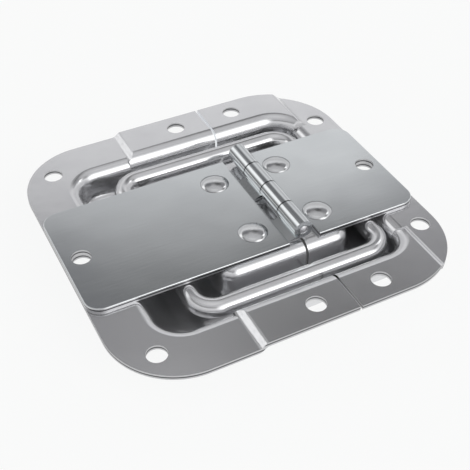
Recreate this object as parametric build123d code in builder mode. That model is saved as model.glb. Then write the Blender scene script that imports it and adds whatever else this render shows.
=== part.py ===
import os

from build123d import *

os.makedirs("parts", exist_ok=True)

# Recessed hinge with a stay ring. Two pressed dishes meet at a split and turn on one pin.
# Millimetres. The origin lies on the split, midway between its ends, level with the face of the
# low flanges. +X runs towards the lid, +Y along the split, +Z out of the case wall.

# Sheet and clearances
sheet = 1.3
split_gap = 0.6
fit_gap = 0.05
knuckle_gap = 0.15

# Flanges
half_width = 44.4
base_reach = -56.0
lid_reach = 34.3
base_corner = 18.0
lid_corner = 20.0

# Raised strip that clears the case's edging. A joggle takes it down to the low flange at its end
strip_rise = 1.24
strip_reach = 24.0
joggle_length = 2.2
joggle_slope = 0.2
strip_rim = 3.3

# Dish. Its walls keep the width of the flanges and of the raised strip
dish_depth = 8.05
strip_width = 13.4
base_flange_width = 13.5
lid_flange_width = 12.4
wall_y = half_width - strip_width
base_wall_x = base_reach + base_flange_width
lid_wall_x = lid_reach - lid_flange_width
strip_side_inset = 3.8
strip_side_y = wall_y - strip_side_inset
wall_corner = 6.5
rim_radius = 3.0
floor_radius = 1.5

# Island that carries the plate in each half
island_gap = 10.5
island_y = wall_y - island_gap
base_island_x = -23.0
lid_island_x = 13.4
island_corner = 4.5
island_round = 3.0

# Cover plates with their rolled knuckles
plate_inset = 1.9
plate_half = island_y - plate_inset
base_plate_edge = -4.15
lid_plate_edge = 4.5
lid_plate_inset = 0.4
lid_plate_reach = lid_reach - lid_plate_inset
plate_corner = 4.2
plate_edge_round = 0.25

# Knuckles and pin
pin_height = 3.6
knuckle_count = 4
barrel_inset = 0.6
knuckle_length = 2 * (plate_half - barrel_inset) / knuckle_count
pin_radius = 1.2
pin_dome = 0.4
barrel_radius = pin_radius + fit_gap + sheet

# Gap between the end of each knuckle's curl and its tongue
mouth_width = 0.6
mouth_foot = 0.15
mouth_near_x = 0.9
mouth_far_x = 4.2

# Screw holes, placed by their distances from the outer edges
screw_radius = 2.5
seam_hole_x = 8.85
seam_hole_margin = 5.37
base_hole_margin_x = 9.17
base_hole_margin_y = 9.13
lid_hole_margin_x = 4.55
lid_hole_margin_y = 18.56
base_end_margin = 4.65
lid_end_margin = 4.24
seam_hole_y = half_width - seam_hole_margin
base_hole_x = base_reach + base_hole_margin_x
base_hole_y = half_width - base_hole_margin_y
lid_hole_x = lid_reach - lid_hole_margin_x
lid_hole_y = half_width - lid_hole_margin_y
base_end_hole_x = base_reach + base_end_margin
lid_end_hole_x = lid_plate_reach - lid_end_margin

# Rivets
rivet_margin = 7.8
rivet_y = plate_half - rivet_margin
base_rivet_x = -10.3
lid_rivet_x = 8.3
rivet_radius = 1.8
rivet_head_radius = 3.8
rivet_head_height = 0.8
rivet_tail_radius = 2.1
rivet_tail_height = 0.8

# Stay ring
bar_radius = 2.5
ring_left_room = 10.6
ring_right_room = 2.8
ring_side_room = 4.4
ring_left_x = base_wall_x + ring_left_room
ring_right_x = lid_wall_x - ring_right_room
ring_y = wall_y - ring_side_room
ring_bend = 5.5
ring_height = -2.8

# Depth of the solid blocks that the sheet is the difference of
block_depth = dish_depth + 4 * sheet


def half_outline(reach, half, corner):
    """Rectangle from the split out to a reach, with its two outer corners rounded."""
    with BuildSketch() as outline:
        with Locations((reach / 2, 0)):
            Rectangle(abs(reach), 2 * half)
        outer = outline.vertices().group_by(Axis.X)[-1 if reach > 0 else 0]
        fillet(outer, corner)
    return outline.sketch


def edges_at(edges, height, reach, half):
    """Edges at one height whose middles lie within a reach of the split, off the split's plane."""
    found = []
    for edge in edges.filter_by_position(Axis.Z, height - 0.01, height + 0.01):
        middle = edge @ 0.5
        inside = 0.01 < abs(middle.X) <= abs(reach) + 0.01 and abs(middle.Y) <= half + 0.01
        if inside:
            found.append(edge)
    return found


def rim_edges(edges, height, reach, half, island_reach):
    """Edges of the dish's opening, which leaves out the edges of the island within it."""
    found = []
    for edge in edges_at(edges, height, reach, half):
        middle = edge @ 0.5
        if abs(middle.Y) > island_y or abs(middle.X) > abs(island_reach):
            found.append(edge)
    return found


def raised_rail(reach, wall, wall_reach, wall_half, drop):
    """Raised strip at the back of a half, rolled down into the dish's wall. It eases down to the low
    flange past its end and beside the dish."""
    side = 1 if reach > 0 else -1
    top = strip_rise - drop
    foot = -rim_radius - sheet / 2
    end = strip_reach + joggle_length
    side_end = strip_side_y - joggle_length
    with BuildPart() as rail:
        with BuildSketch(Plane.XY.offset(foot)):
            with Locations((reach / 2, half_width / 2)):
                Rectangle(abs(reach), half_width)
            add(wall, mode=Mode.SUBTRACT)
        extrude(amount=top - foot)
        fillet(edges_at(rail.edges(), top, wall_reach, wall_half), strip_rim - drop)
        with BuildSketch(Plane.XZ):
            with BuildLine():
                Polyline(
                    (side * strip_reach, top),
                    (0, top),
                    (0, foot),
                    (side * end, foot),
                    (side * end, -drop),
                )
                slope = (side, -joggle_slope)
                Spline((side * strip_reach, top), (side * end, -drop), tangents=(slope, slope))
            make_face()
        extrude(amount=-half_width, mode=Mode.INTERSECT)
        with BuildSketch(Plane.YZ):
            with BuildLine():
                Polyline(
                    (strip_side_y, top),
                    (half_width, top),
                    (half_width, foot),
                    (side_end, foot),
                    (side_end, -drop),
                )
                slope = (-1, -joggle_slope)
                Spline((strip_side_y, top), (side_end, -drop), tangents=(slope, slope))
            make_face()
        extrude(amount=side * end, mode=Mode.INTERSECT)
    return rail.part


def form_under(reach, corner, wall_x, island_x, drop):
    """Solid under one skin of the pressing. A drop of zero gives the outer skin, a drop of the
    sheet's thickness gives the inner one, so every bend keeps one centre on both."""
    side = 1 if reach > 0 else -1
    wall_reach = wall_x + side * drop
    wall_half = wall_y + drop
    flange = half_outline(reach, half_width, corner)
    wall = half_outline(wall_reach, wall_half, wall_corner + drop)
    island = half_outline(island_x - side * drop, island_y - drop, island_corner - drop)
    rail = raised_rail(reach, wall, wall_reach, wall_half, drop)
    with BuildPart() as form:
        with BuildSketch(Plane.XY.offset(-block_depth)):
            add(flange)
        extrude(amount=block_depth - drop)
        with BuildSketch(Plane.XY.offset(-drop)):
            add(wall)
            add(island, mode=Mode.SUBTRACT)
        extrude(amount=-dish_depth, mode=Mode.SUBTRACT)
        floor_edges = edges_at(form.edges(), -dish_depth - drop, wall_reach, wall_half)
        fillet(floor_edges, floor_radius + drop)
        fillet(edges_at(form.edges(), -drop, island_x, island_y), island_round - drop)
        fillet(rim_edges(form.edges(), -drop, wall_reach, wall_half, island_x), rim_radius - drop)
        add(rail)
        mirror(rail, about=Plane.XZ)
        with BuildSketch(Plane.XY.offset(-block_depth)):
            add(flange)
        extrude(amount=block_depth + 2 * strip_rise, mode=Mode.INTERSECT)
    return form.part


def split_slot():
    """Cutter that takes half the gap off each dish at the split."""
    with BuildPart() as slot:
        with BuildSketch(Plane.XY.offset(-block_depth)):
            Rectangle(split_gap, 3 * half_width)
        extrude(amount=2 * block_depth)
    return slot.part


def dish(reach, corner, wall_x, island_x, hole_spots, rivet_x):
    """Pressed dish of one half, with its screw holes and rivet holes."""
    outer = form_under(reach, corner, wall_x, island_x, 0)
    inner = form_under(reach, corner, wall_x, island_x, sheet)
    slot = split_slot()
    with BuildPart() as pressing:
        add(outer)
        add(inner, mode=Mode.SUBTRACT)
        add(slot, mode=Mode.SUBTRACT)
        with Locations(*[(x, y, strip_rise) for x, y in hole_spots]):
            Hole(screw_radius, depth=3 * sheet)
        with Locations((rivet_x, rivet_y, 0), (rivet_x, -rivet_y, 0)):
            Hole(rivet_radius + fit_gap, depth=2 * sheet)
    return pressing.part


def knuckle_profile(side, edge_x):
    """Section of a rolled knuckle, with the tongue that joins it to its plate's edge and the gap
    where the curl ends above the tongue."""
    bore = pin_radius + fit_gap
    under = pin_height - barrel_radius
    over = under + sheet
    knee_x = side * barrel_radius / 2
    near_x = side * mouth_near_x
    far_x = side * mouth_far_x
    with BuildSketch() as profile:
        with Locations((0, pin_height)):
            Circle(barrel_radius)
        with BuildLine():
            Polyline(
                (edge_x, 0),
                (knee_x, under),
                (0, under),
                (0, over),
                (knee_x, over),
                (edge_x, sheet),
                close=True,
            )
        make_face()
        with Locations((0, pin_height)):
            Circle(bore, mode=Mode.SUBTRACT)
        with BuildLine():
            Polyline(
                (near_x, over),
                (knee_x, over),
                (far_x, sheet + mouth_foot),
                (far_x, sheet + 2 * mouth_width),
                (near_x, over + mouth_width),
                close=True,
            )
        make_face(mode=Mode.SUBTRACT)
    return profile.sketch


def cover_plate(reach, edge_x, hole_x, rivet_x, first_knuckle):
    """Flat cover plate with every second knuckle of the barrel rolled from its inner edge."""
    side = 1 if reach > 0 else -1
    section = knuckle_profile(side, edge_x)
    with BuildPart() as plate:
        with BuildSketch():
            with Locations(((reach + edge_x) / 2, 0)):
                outline = Rectangle(abs(reach - edge_x), 2 * plate_half)
            outer = outline.vertices().group_by(Axis.X)[-1 if reach > 0 else 0]
            fillet(outer, plate_corner)
        extrude(amount=sheet)
        top_rim = plate.faces().sort_by(Axis.Z)[-1].edges()
        fillet(top_rim.filter_by(lambda edge: abs((edge @ 0.5).X - edge_x) > 0.01), plate_edge_round)
        for index in range(first_knuckle, knuckle_count, 2):
            far_y = (index + 1 - knuckle_count / 2) * knuckle_length - knuckle_gap / 2
            with BuildSketch(Plane.XZ.offset(-far_y)):
                add(section)
            extrude(amount=knuckle_length - knuckle_gap)
        with Locations((hole_x, 0, sheet)):
            Hole(screw_radius, depth=2 * sheet)
        with Locations((rivet_x, rivet_y, sheet), (rivet_x, -rivet_y, sheet)):
            Hole(rivet_radius + fit_gap, depth=2 * sheet)
    return plate.part


# Base dish, the long half that stays on the case
base_holes = [(-seam_hole_x, seam_hole_y), (-seam_hole_x, -seam_hole_y)]
base_holes += [(base_hole_x, base_hole_y), (base_hole_x, -base_hole_y), (base_end_hole_x, 0)]
base_pressing = dish(base_reach, base_corner, base_wall_x, base_island_x, base_holes, base_rivet_x)
with BuildPart() as base_dish:
    add(base_pressing)

# Lid dish, the short half that turns with the lid
lid_holes = [(seam_hole_x, seam_hole_y), (seam_hole_x, -seam_hole_y)]
lid_holes += [(lid_hole_x, lid_hole_y), (lid_hole_x, -lid_hole_y), (lid_end_hole_x, 0)]
lid_pressing = dish(lid_reach, lid_corner, lid_wall_x, lid_island_x, lid_holes, lid_rivet_x)
with BuildPart() as lid_dish:
    add(lid_pressing)

# Cover plates
base_cover = cover_plate(base_reach, base_plate_edge, base_end_hole_x, base_rivet_x, 0)
with BuildPart() as base_plate:
    add(base_cover)
lid_cover = cover_plate(lid_plate_reach, lid_plate_edge, lid_end_hole_x, lid_rivet_x, 1)
with BuildPart() as lid_plate:
    add(lid_cover)

# Hinge pin, with a low dome on each end
barrel_half = knuckle_count * knuckle_length / 2
with BuildPart() as hinge_pin:
    with BuildSketch(Plane.YZ):
        with BuildLine():
            Line((0, pin_height), (0, pin_height + pin_radius))
            Line((0, pin_height + pin_radius), (barrel_half, pin_height + pin_radius))
            TangentArc(
                (barrel_half + pin_dome, pin_height),
                (barrel_half, pin_height + pin_radius),
                tangent=(0, 1),
            )
            Line((barrel_half + pin_dome, pin_height), (0, pin_height))
        make_face()
    revolve(axis=Axis((0, 0, pin_height), (0, 1, 0)))
    mirror(about=Plane.XZ)

# Stay ring, one closed loop of round bar lying in both dishes
with BuildPart() as stay_ring:
    with BuildLine(Plane.XY.offset(ring_height)) as route:
        FilletPolyline(
            (ring_left_x, -ring_y),
            (ring_right_x, -ring_y),
            (ring_right_x, ring_y),
            (ring_left_x, ring_y),
            radius=ring_bend,
            close=True,
        )
    start = route.edges().sort_by(Axis.X)[0]
    with BuildSketch(Plane(start @ 0.5, z_dir=start % 0.5)):
        Circle(bar_radius)
    sweep(path=route.wire())


def rivet(x, y):
    """Domed rivet through plate and island, with its tail set under the island."""
    tail_top = -sheet
    crown = sheet + rivet_head_height
    with BuildPart() as piece:
        with BuildSketch(Plane.XZ):
            with BuildLine():
                Line((0, tail_top - rivet_tail_height), (rivet_tail_radius, tail_top - rivet_tail_height))
                Line((rivet_tail_radius, tail_top - rivet_tail_height), (rivet_tail_radius, tail_top))
                Line((rivet_tail_radius, tail_top), (rivet_radius, tail_top))
                Line((rivet_radius, tail_top), (rivet_radius, sheet))
                Line((rivet_radius, sheet), (rivet_head_radius, sheet))
                TangentArc((0, crown), (rivet_head_radius, sheet), tangent=(1, 0))
                Line((0, crown), (0, tail_top - rivet_tail_height))
            make_face()
        revolve(axis=Axis.Z)
    return piece.part.moved(Location((x, y, 0)))


rivet_places = {
    "base_rivet_front": (base_rivet_x, -rivet_y),
    "base_rivet_back": (base_rivet_x, rivet_y),
    "lid_rivet_front": (lid_rivet_x, -rivet_y),
    "lid_rivet_back": (lid_rivet_x, rivet_y),
}

base_dish.part.label = "base_dish"
export_step(base_dish.part, "parts/base_dish.step")
lid_dish.part.label = "lid_dish"
export_step(lid_dish.part, "parts/lid_dish.step")
base_plate.part.label = "base_plate"
export_step(base_plate.part, "parts/base_plate.step")
lid_plate.part.label = "lid_plate"
export_step(lid_plate.part, "parts/lid_plate.step")
hinge_pin.part.label = "hinge_pin"
export_step(hinge_pin.part, "parts/hinge_pin.step")
stay_ring.part.label = "stay_ring"
export_step(stay_ring.part, "parts/stay_ring.step")
for name, place in rivet_places.items():
    piece = rivet(*place)
    with BuildPart() as fastener:
        add(piece)
    fastener.part.label = name
    export_step(fastener.part, f"parts/{name}.step")
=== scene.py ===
import math

import bpy
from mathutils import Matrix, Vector


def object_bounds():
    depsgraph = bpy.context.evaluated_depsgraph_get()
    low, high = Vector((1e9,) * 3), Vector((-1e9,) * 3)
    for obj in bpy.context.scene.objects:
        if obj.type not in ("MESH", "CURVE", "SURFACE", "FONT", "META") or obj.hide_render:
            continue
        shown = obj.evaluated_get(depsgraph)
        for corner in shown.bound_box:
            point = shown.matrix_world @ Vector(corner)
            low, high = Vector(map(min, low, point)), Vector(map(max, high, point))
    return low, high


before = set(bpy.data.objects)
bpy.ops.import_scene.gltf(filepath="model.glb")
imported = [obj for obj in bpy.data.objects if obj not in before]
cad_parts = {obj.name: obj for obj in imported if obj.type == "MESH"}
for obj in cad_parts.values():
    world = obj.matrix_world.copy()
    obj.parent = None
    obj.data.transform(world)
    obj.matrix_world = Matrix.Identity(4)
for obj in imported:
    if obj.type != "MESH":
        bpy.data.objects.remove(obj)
cadLow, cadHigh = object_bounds()
print("frame loaded:", len(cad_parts), "nodes")


# shader toolkit

class Wire:
    # an output socket of a shader tree that takes part in plain arithmetic
    def __init__(self, tree, socket):
        self.tree = tree
        self.socket = socket

    def maths(self, operation, first, second=0.0):
        return self.tree.add("ShaderNodeMath", {"operation": operation}, {0: first, 1: second})

    def __add__(self, other):
        return self.maths("ADD", self, other)

    def __radd__(self, other):
        return self.maths("ADD", other, self)

    def __sub__(self, other):
        return self.maths("SUBTRACT", self, other)

    def __rsub__(self, other):
        return self.maths("SUBTRACT", other, self)

    def __mul__(self, other):
        return self.maths("MULTIPLY", self, other)

    def __rmul__(self, other):
        return self.maths("MULTIPLY", other, self)

    def __truediv__(self, other):
        return self.maths("DIVIDE", self, other)

    def __rtruediv__(self, other):
        return self.maths("DIVIDE", other, self)

    def __pow__(self, other):
        return self.maths("POWER", self, other)

    def __rpow__(self, other):
        return self.maths("POWER", other, self)

    def __gt__(self, other):
        return self.maths("GREATER_THAN", self, other)

    def __lt__(self, other):
        return self.maths("LESS_THAN", self, other)

    def __abs__(self):
        return self.maths("ABSOLUTE", self)

    def fraction(self):
        return self.maths("FRACT", self)


class ShaderTree:
    # builds one node tree, with any node made by the same call
    def __init__(self, tree):
        self.tree = tree
        self.tree.nodes.clear()

    def add(self, kind, settings=None, inputs=None, output=0):
        node = self.tree.nodes.new(kind)
        for name, value in (settings or {}).items():
            if name == "stops":
                self.fillRamp(node.color_ramp, value)
            else:
                setattr(node, name, value)
        for name, value in (inputs or {}).items():
            if isinstance(value, Wire):
                self.tree.links.new(value.socket, node.inputs[name])
            else:
                node.inputs[name].default_value = value
        return Wire(self, node.outputs[output]) if len(node.outputs) else None

    def fillRamp(self, ramp, stops):
        while len(ramp.elements) < len(stops):
            ramp.elements.new(0.5)
        for element, (place, colour) in zip(ramp.elements, stops):
            element.position = place
            element.color = colour

    def component(self, source, axis):
        # X, Y or Z of a point's place ("Object"), of its "Normal",
        # or of its place in the piece's own box ("Generated", from 0 to 1)
        point = self.add("ShaderNodeTexCoord", output=source)
        return self.add("ShaderNodeSeparateXYZ", {}, {0: point}, output=axis)

    def noise(self, size, detail=2.0, twist=0.0, stretch=(1, 1, 1)):
        point = self.add("ShaderNodeTexCoord", output="Object")
        stretched = self.add("ShaderNodeMapping", {}, {"Vector": point, "Scale": stretch})
        inputs = {"Vector": stretched, "Scale": size, "Detail": detail, "Distortion": twist}
        return self.add("ShaderNodeTexNoise", {}, inputs)

    def rise(self, value, span, curve="LINEAR"):
        # 0 before the span and 1 after it
        settings = {"interpolation_type": curve, "clamp": True}
        inputs = {"Value": value, "From Min": span[0], "From Max": span[1]}
        return self.add("ShaderNodeMapRange", settings, inputs)

    def fall(self, value, span):
        return 1 - self.rise(value, span)

    def mixColour(self, factor, first, second):
        # the Mix node has sockets for each type of data: 6, 7 and output 2 are the colours
        return self.add("ShaderNodeMix", {"data_type": "RGBA"}, {0: factor, 6: first, 7: second}, output=2)

    def bump(self, height):
        # the height is in metres
        return self.add("ShaderNodeBump", {}, {"Height": height, "Strength": 1.0, "Distance": 1.0})


def opaque(colour, share=1.0):
    return tuple(channel * share for channel in colour) + (1.0,)


def newFinish(name):
    material = bpy.data.materials.new(name)
    material.use_nodes = True
    return material, ShaderTree(material.node_tree)


def giveFinish(material, nodeNames):
    for nodeName in nodeNames:
        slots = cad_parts[nodeName].data.materials
        slots.clear()
        slots.append(material)


def metal(tree, look, colour, roughness, normal):
    inputs = {"Base Color": colour, "Metallic": look["metallic"], "Roughness": roughness, "Normal": normal}
    shader = tree.add("ShaderNodeBsdfPrincipled", {}, inputs)
    tree.add("ShaderNodeOutputMaterial", {}, {"Surface": shader})


# in every look, a noise has its size and, where they matter, its detail, twist and stretch,
# and a pair of numbers is a span: where a mask starts to change and where it is done

# plating bath: cloudy patches of a second colour
bathLook = {"cloudSpan": (0.35, 0.70), "noiseMiddle": 0.5}


def clouded(tree, look, cloud):
    share = tree.rise(cloud, bathLook["cloudSpan"])
    return tree.mixColour(share, opaque(look["colour"]), opaque(look["cloudColour"]))


def swing(noise, amount):
    # a change of roughness to both sides of its plain value
    return (noise - bathLook["noiseMiddle"]) * amount


# sheared edges of the sheet: bright where the punch slid, with a dull torn band at half thickness
edgeLook = {
    "sheet": 0.0013,
    "slidColour": (0.60, 0.60, 0.61),
    "tornColour": (0.10, 0.10, 0.105),
    "roughnessRise": 0.22,
    "steepSpan": (0.15, 0.45),  # upward part of the normal
    "bandSpan": (0.10, 0.20),  # from half thickness, as a share of the sheet
    "lowest": -0.00135,  # just under the flange
}


def shearedEdge(tree):
    # how far a point belongs to a sheared edge, and how far to its torn band
    height = tree.component("Object", "Z")
    steep = tree.fall(abs(tree.component("Normal", "Z")), edgeLook["steepSpan"])
    edge = steep * (height > edgeLook["lowest"])
    fromMiddle = abs((height / edgeLook["sheet"]).fraction() - 0.5)
    return edge, edge * tree.fall(fromMiddle, edgeLook["bandSpan"])


def withEdge(tree, colour, roughness, edge, torn):
    edged = tree.mixColour(edge, colour, opaque(edgeLook["slidColour"]))
    edged = tree.mixColour(torn, edged, opaque(edgeLook["tornColour"]))
    return edged, roughness + edge * edgeLook["roughnessRise"]


# dishes: deep-drawn sheet, clouded by the bath and softly uneven from the press
# their cut faces at the split carry painted shade in the front half and a painted highlight at the back
dishLook = {
    "colour": (0.80, 0.803, 0.815),
    "cloudColour": (0.77, 0.773, 0.788),
    "cloud": {"size": 90.0, "detail": 3.0, "twist": 0.4},
    "grain": {"size": 2600.0},
    "wave": {"size": 200.0, "detail": 1.0},
    "roughness": 0.20,
    "cloudSwing": 0.05,
    "grainSwing": 0.05,
    "grainDepth": 0.000004,
    "waveDepth": 0.00002,
    "metallic": 0.87,
    "splitSpan": (0.000323, 0.00034),  # metres to each side of the split's middle
    # painted shade for the split's slot at the front, and a painted highlight on its cut faces at the back
    "seamShadeColour": (0.03, 0.03, 0.032),
    "seamShadeStart": (-0.034, -0.033),
    "seamShadeEnd": (-0.012, 0.004),
    "seamHighlightColour": (0.93, 0.95, 0.98),
    "seamHighlightStart": (0.024, 0.026),
}


def dishFinish():
    look = dishLook
    material, tree = newFinish("drawnZinc")
    cloud = tree.noise(**look["cloud"])
    grain = tree.noise(**look["grain"])
    wave = tree.noise(**look["wave"])
    colour = clouded(tree, look, cloud)
    roughness = look["roughness"] + swing(cloud, look["cloudSwing"]) + swing(grain, look["grainSwing"])
    edge, torn = shearedEdge(tree)
    colour, roughness = withEdge(tree, colour, roughness, edge, torn)
    along = tree.component("Object", "Y")
    split = tree.fall(abs(tree.component("Object", "X")), look["splitSpan"])
    # painted shade: the split's cut faces darkened in the front half
    seamShade = split * tree.rise(along, look["seamShadeStart"]) * tree.fall(along, look["seamShadeEnd"])
    colour = tree.mixColour(seamShade, colour, opaque(look["seamShadeColour"]))
    # painted highlight: the split's cut faces brightened at the back
    seamHighlight = split * tree.rise(along, look["seamHighlightStart"])
    colour = tree.mixColour(seamHighlight, colour, opaque(look["seamHighlightColour"]))
    normal = tree.bump(wave * look["waveDepth"] + grain * look["grainDepth"])
    metal(tree, look, colour, roughness, normal)
    return material


# plates: flat rolled sheet with a faint grain along it, and painted shade in the gaps where their knuckles
# meet
plateLook = {
    "colour": (0.73, 0.755, 0.765),
    "cloudColour": (0.69, 0.715, 0.727),
    "cloud": {"size": 45.0, "twist": 0.3},
    "grain": {"size": 3500.0, "stretch": (0.05, 1, 1)},
    "wave": {"size": 70.0, "detail": 1.0},
    "roughness": 0.13,
    "cloudSwing": 0.05,
    "grainSwing": 0.06,
    "grainDepth": 0.000003,
    "waveDepth": 0.00004,
    "metallic": 0.96,
    "flatTop": (0.00130, 0.00135),  # above it the sheet curls into knuckles, which have no sheared edge
    # painted shade in the gaps between the knuckles
    "jointShadeColour": (0.05, 0.05, 0.055),
    "knucklePitch": 0.009,
    "jointShadeHalf": (0.000132, 0.00022),  # metres to each side of a joint
    "jointShadeHeight": (0.0014, 0.0016),
    "jointShadeReach": (0.015, 0.016),  # from the barrel's middle, so that its ends stay bright
}


def plateFinish():
    look = plateLook
    material, tree = newFinish("rolledZinc")
    cloud = tree.noise(**look["cloud"])
    grain = tree.noise(**look["grain"])
    wave = tree.noise(**look["wave"])
    colour = clouded(tree, look, cloud)
    roughness = look["roughness"] + swing(cloud, look["cloudSwing"]) + swing(grain, look["grainSwing"])
    along = tree.component("Object", "Y")
    height = tree.component("Object", "Z")
    edge, torn = shearedEdge(tree)
    flat = tree.fall(height, look["flatTop"])
    colour, roughness = withEdge(tree, colour, roughness, edge * flat, torn * flat)
    # painted shade: a dark line at each joint between the knuckles
    fromJoint = abs((along / look["knucklePitch"] + 0.5).fraction() - 0.5) * look["knucklePitch"]
    jointShade = tree.fall(fromJoint, look["jointShadeHalf"]) * tree.rise(height, look["jointShadeHeight"])
    jointShade = jointShade * tree.fall(abs(along), look["jointShadeReach"])
    colour = tree.mixColour(jointShade, colour, opaque(look["jointShadeColour"]))
    normal = tree.bump(wave * look["waveDepth"] + grain * look["grainDepth"])
    metal(tree, look, colour, roughness, normal)
    return material


# ring: drawn round bar with a smooth skin
ringLook = {
    "colour": (0.80, 0.802, 0.812),
    "cloudColour": (0.74, 0.743, 0.755),
    "cloud": {"size": 160.0, "detail": 3.0, "twist": 0.2},
    "grain": {"size": 1800.0},
    "roughness": 0.20,
    "cloudSwing": 0.06,
    "grainDepth": 0.000005,
    "metallic": 0.89,
}


def ringFinish():
    look = ringLook
    material, tree = newFinish("barZinc")
    cloud = tree.noise(**look["cloud"])
    grain = tree.noise(**look["grain"])
    roughness = look["roughness"] + swing(cloud, look["cloudSwing"])
    metal(tree, look, clouded(tree, look, cloud), roughness, tree.bump(grain * look["grainDepth"]))
    return material


# pin: turned rod, with the tool's lines around it
pinLook = {
    "colour": (0.68, 0.68, 0.70),
    "lineShare": 0.9,
    "lines": {"size": 2400.0, "stretch": (0.1, 1, 0.1)},
    "roughness": 0.22,
    "lineSwing": 0.12,
    "lineDepth": 0.000006,
    "metallic": 1.0,
}


def pinFinish():
    look = pinLook
    material, tree = newFinish("turnedZinc")
    lines = tree.noise(**look["lines"])
    colour = tree.mixColour(lines, opaque(look["colour"]), opaque(look["colour"], look["lineShare"]))
    roughness = look["roughness"] + swing(lines, look["lineSwing"])
    metal(tree, look, colour, roughness, tree.bump(lines * look["lineDepth"]))
    return material


# rivets: bright from the punch, with small soft dents, a steeper rim and a thin painted shade line around it
# where the head meets the plate
rivetLook = {
    "colour": (0.78, 0.79, 0.80),
    "dentShare": 0.92,
    "dents": {"size": 520.0, "detail": 1.0, "twist": 0.5},
    "dentMiddle": 0.4,
    "roughness": 0.15,
    "dentSwing": 0.1,
    "dentDepth": 0.00003,
    "metallic": 0.96,
    "rimSpan": (0.70, 1.0),  # from the head's middle to its edge, as shares of its radius
    "rimDrop": 0.00028,
    # painted shade around the head's edge
    "rimShadeSpan": (0.955, 1.0),
    "rimShadeColour": (0.20, 0.20, 0.205),
}


def rivetFinish():
    look = rivetLook
    material, tree = newFinish("setZinc")
    dents = tree.noise(**look["dents"])
    roughness = look["roughness"] + (dents - look["dentMiddle"]) * look["dentSwing"]
    across = tree.component("Generated", "X") * 2 - 1
    along = tree.component("Generated", "Y") * 2 - 1
    fromCentre = (across * across + along * along) ** 0.5
    drop = tree.rise(fromCentre, look["rimSpan"]) ** 2 * look["rimDrop"]
    colour = tree.mixColour(dents, opaque(look["colour"]), opaque(look["colour"], look["dentShare"]))
    # painted shade: a thin dark line at the head's edge
    rimShade = tree.rise(fromCentre, look["rimShadeSpan"])
    colour = tree.mixColour(rimShade, colour, opaque(look["rimShadeColour"]))
    metal(tree, look, colour, roughness, tree.bump(dents * look["dentDepth"] - drop))
    return material


giveFinish(dishFinish(), ["base_dish", "lid_dish"])
giveFinish(plateFinish(), ["base_plate", "lid_plate"])
giveFinish(ringFinish(), ["stay_ring"])
giveFinish(pinFinish(), ["hinge_pin"])
giveFinish(rivetFinish(), ["base_rivet_front", "base_rivet_back", "lid_rivet_front", "lid_rivet_back"])
print("finishes given")


# floor: white paper that glows for the camera and in mirrors, and takes the hinge's shadow
floorLook = {"halfSize": 4.0, "colour": (0.9, 0.9, 0.9), "glow": (0.995, 1.0, 0.997), "glowShare": 0.88}


def makeFloor():
    half = floorLook["halfSize"]
    height = cadLow.z
    mesh = bpy.data.meshes.new("studioFloor")
    corners = [(-half, -half, height), (half, -half, height), (half, half, height), (-half, half, height)]
    mesh.from_pydata(corners, [], [(0, 1, 2, 3)])
    floor = bpy.data.objects.new("studioFloor", mesh)
    bpy.context.scene.collection.objects.link(floor)
    material, tree = newFinish("paperFloor")
    seen = tree.add("ShaderNodeLightPath", output="Is Camera Ray")
    mirrored = tree.add("ShaderNodeLightPath", output="Is Glossy Ray")
    through = tree.add("ShaderNodeLightPath", output="Is Transmission Ray")
    share = (seen + mirrored + through) * floorLook["glowShare"]
    paper = tree.add("ShaderNodeBsdfDiffuse", {}, {"Color": opaque(floorLook["colour"])})
    glow = tree.add("ShaderNodeEmission", {}, {"Color": opaque(floorLook["glow"]), "Strength": 1.0})
    surface = tree.add("ShaderNodeMixShader", {}, {0: share, 1: paper, 2: glow})
    tree.add("ShaderNodeOutputMaterial", {}, {"Surface": surface})
    mesh.materials.append(material)


makeFloor()
print("floor laid")


# studio room: its walls' grey by height, from the floor line to straight overhead, and soft patches
# a patch has the direction of its middle, its colour, and the cosines at which it starts and is full
roomLook = {
    "walls": [
        (0.00, 0.72),
        (0.15, 0.62),
        (0.30, 0.58),
        (0.42, 0.64),
        (0.52, 0.82),
        (0.585, 0.85),
        (0.61, 0.74),
        (0.64, 0.57),
        (0.66, 0.44),
        (0.685, 0.33),
        (0.71, 0.13),
        (0.75, 0.20),
        (0.80, 0.46),
        (0.87, 0.52),
        (0.94, 0.57),
        (1.00, 0.72),
    ],
    "wallTint": (1.0, 1.0, 1.015),
    "patches": {
        "leftShade": {"towards": (0.05, 0.68, 0.73), "span": (0.982, 0.998), "colour": (0.16, 0.16, 0.17)},
        "rightShade": {"towards": (0.576, 0.45, 0.682), "span": (0.972, 0.996), "colour": (0.22, 0.22, 0.23)},
        "backShade": {"towards": (0.40, 0.535, 0.743), "span": (0.987, 0.9985), "colour": (0.05, 0.05, 0.05)},
        "leftLow": {"towards": (-0.75, 0.66, 0.04), "span": (0.95, 0.99), "colour": (0.22, 0.22, 0.22)},
        "frontLow": {"towards": (0.34, -0.94, 0.06), "span": (0.75, 0.98), "colour": (0.80, 0.80, 0.80)},
        "frontGlow": {"towards": (0.34, -0.77, 0.54), "span": (0.82, 0.997), "colour": (1.75, 1.75, 1.75)},
        "leftGlow": {"towards": (-0.50, 0.664, 0.556), "span": (0.96, 0.999), "colour": (1.25, 1.25, 1.25)},
    },
}


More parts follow.
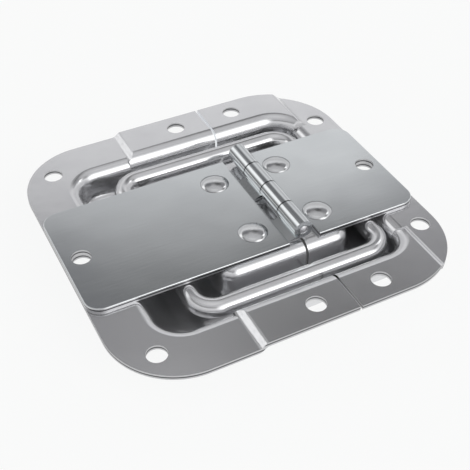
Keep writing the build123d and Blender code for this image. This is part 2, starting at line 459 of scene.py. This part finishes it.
def lightRoom():
    world = bpy.data.worlds.new("studioRoom")
    bpy.context.scene.world = world
    world.use_nodes = True
    tree = ShaderTree(world.node_tree)
    direction = tree.add("ShaderNodeTexCoord", output="Generated")
    height = tree.add("ShaderNodeSeparateXYZ", {}, {0: direction}, output="Z")
    stops = [(place, opaque(roomLook["wallTint"], grey)) for place, grey in roomLook["walls"]]
    colour = tree.add("ShaderNodeValToRGB", {"stops": stops}, {0: height})
    for patch in roomLook["patches"].values():
        towards = Vector(patch["towards"]).normalized()
        dot = {"operation": "DOT_PRODUCT"}
        nearness = tree.add("ShaderNodeVectorMath", dot, {0: direction, 1: towards}, output="Value")
        mask = tree.rise(nearness, patch["span"], "SMOOTHSTEP")
        colour = tree.mixColour(mask, colour, opaque(patch["colour"]))
    room = tree.add("ShaderNodeBackground", {}, {"Color": colour, "Strength": 1.0})
    tree.add("ShaderNodeOutputWorld", {}, {"Surface": room})


# lamps: place, point that it faces, width and height, and watts
lampLooks = {
    "frontBox": {"place": (0.25, -0.56, 0.40), "faces": (0, 0, 0), "size": (0.30, 0.20), "watts": 0.2},
    "rightBox": {"place": (0.66, 0.11, 0.62), "faces": (0, 0, 0), "size": (0.20, 0.20), "watts": 0.16},
}


def hangLamps():
    for name, look in lampLooks.items():
        data = bpy.data.lights.new(name, "AREA")
        data.shape = "RECTANGLE"
        data.size, data.size_y = look["size"]
        data.energy = look["watts"]
        lamp = bpy.data.objects.new(name, data)
        lamp.location = look["place"]
        lamp.rotation_mode = "QUATERNION"
        lamp.rotation_quaternion = (Vector(look["faces"]) - Vector(look["place"])).to_track_quat("-Z", "Y")
        lamp.visible_camera = False
        bpy.context.scene.collection.objects.link(lamp)


lightRoom()
hangLamps()
print("studio lit")


# camera at the photograph's angle, in degrees, metres and millimetres of lens and sensor
cameraLook = {
    "azimuth": -27.04,
    "elevation": 41.78,
    "distance": 0.22226,
    "target": (-0.01405, -0.00841, 0.0),
    "lens": 68.15,
    "sensor": 36.0,
    "nearest": 0.01,
    "furthest": 20.0,
}


def placeCamera():
    look = cameraLook
    azimuth = math.radians(look["azimuth"])
    elevation = math.radians(look["elevation"])
    level = math.cos(elevation)
    back = Vector((math.sin(azimuth) * level, -math.cos(azimuth) * level, math.sin(elevation)))
    data = bpy.data.cameras.new("photoCamera")
    data.sensor_fit = "HORIZONTAL"
    data.sensor_width = look["sensor"]
    data.lens = look["lens"]
    data.clip_start = look["nearest"]
    data.clip_end = look["furthest"]
    camera = bpy.data.objects.new("photoCamera", data)
    camera.location = Vector(look["target"]) + back * look["distance"]
    camera.rotation_mode = "QUATERNION"
    camera.rotation_quaternion = (-back).to_track_quat("-Z", "Y")
    bpy.context.scene.collection.objects.link(camera)
    bpy.context.scene.camera = camera


placeCamera()
bpy.context.scene.view_settings.view_transform = "Standard"
print("camera placed")
